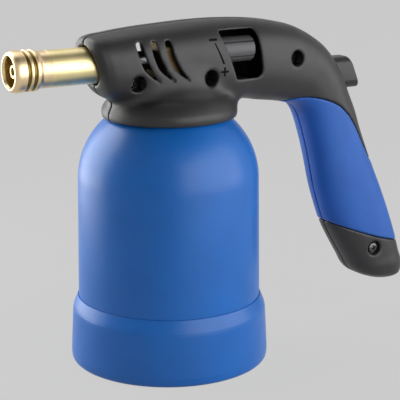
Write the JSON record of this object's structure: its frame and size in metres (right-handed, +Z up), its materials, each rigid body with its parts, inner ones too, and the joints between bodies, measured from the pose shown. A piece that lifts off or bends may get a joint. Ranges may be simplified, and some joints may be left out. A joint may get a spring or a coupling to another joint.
{
  "type": "cartridge soldering torch",
  "caption": "Hand-held gas soldering torch: a blue cup for a pierceable cartridge, a black pistol-shaped casing with igniter button and control wheel, and a brass burner.",
  "frame": {"origin": "centre of the cup's flat underside, where the torch stands, on the cup's axis", "axes": "-X is where the burner points and +X is the side of the handle, +Y is the torch's right side, +Z is up along the cup's axis"},
  "size_m": [0.239, 0.1046, 0.1788],
  "materials": {
    "cup_plastic": "moulded polypropylene with a satin skin",
    "grip_plastic": "soft-touch overmould, matt",
    "casing_plastic": "glass-filled nylon with a fine satin grain",
    "button_plastic": "moulded, smooth",
    "brass": "turned and polished",
    "steel": "zinc plated or turned",
    "painted_tin": "lacquered tinplate, plain",
    "seal_rubber": "nitrile rubber",
    "ceramic": "glazed alumina",
    "lead_insulation": "silicone insulation"
  },
  "bodies": {
    "base": {"base_bowl": "cup_plastic"},
    "cartridge": {"gas_cartridge": "painted_tin"},
    "head": {"housing_body": "cup_plastic", "left_casing": "casing_plastic", "right_casing": "casing_plastic", "left_grip": "grip_plastic", "right_grip": "grip_plastic", "casing_screw_1": "steel", "casing_screw_2": "steel", "casing_screw_3": "steel", "casing_screw_4": "steel", "piercing_head": "brass", "piercing_needle": "steel", "cartridge_seal": "seal_rubber", "neck_nut": "steel", "inlet_pipe": "brass", "valve_block": "brass", "gas_jet": "brass", "gland_nut": "brass", "spindle_seal": "seal_rubber", "burner_tube": "brass", "mixer_tube": "steel", "burner_tip": "brass", "flame_nozzle": "brass", "piezo_body": "casing_plastic", "igniter_spring": "steel", "electrode_insulator": "ceramic", "electrode": "steel", "ignition_lead": "lead_insulation"},
    "wheel": {"control_wheel": "casing_plastic", "valve_spindle": "steel", "wheel_screw": "steel"},
    "needle": {"valve_needle": "steel"},
    "button": {"igniter_button": "button_plastic", "piezo_plunger": "steel"}
  },
  "joints": [
    {"name": "head_twist", "type": "hinge", "parent": "base", "child": "cartridge", "pos_m": [0, 0, 0.035], "axis": [0, 0, 1], "range_deg": [0, 40]},
    {"name": "head_lift", "type": "slide", "parent": "cartridge", "child": "head", "axis": [0, 0, 1], "range_m": [0, 0.115]},
    {"name": "wheel_turn", "type": "hinge", "parent": "head", "child": "wheel", "pos_m": [0.0315, -0.0109, 0.16337], "axis": [1, 0, 0], "range_deg": [0, 450]},
    {"name": "needle_travel", "type": "slide", "parent": "head", "child": "needle", "axis": [1, 0, 0], "range_m": [0, 0.001]},
    {"name": "button_press", "type": "slide", "parent": "head", "child": "button", "axis": [-1, 0, 0], "range_m": [0, 0.0065], "stiffness_N_per_m": 1500, "deforming": ["igniter_spring"]}
  ],
  "couplings": [
    {"joint": "needle_travel", "follows": "wheel_turn", "m_per_rad": 0.00012732}
  ]
}
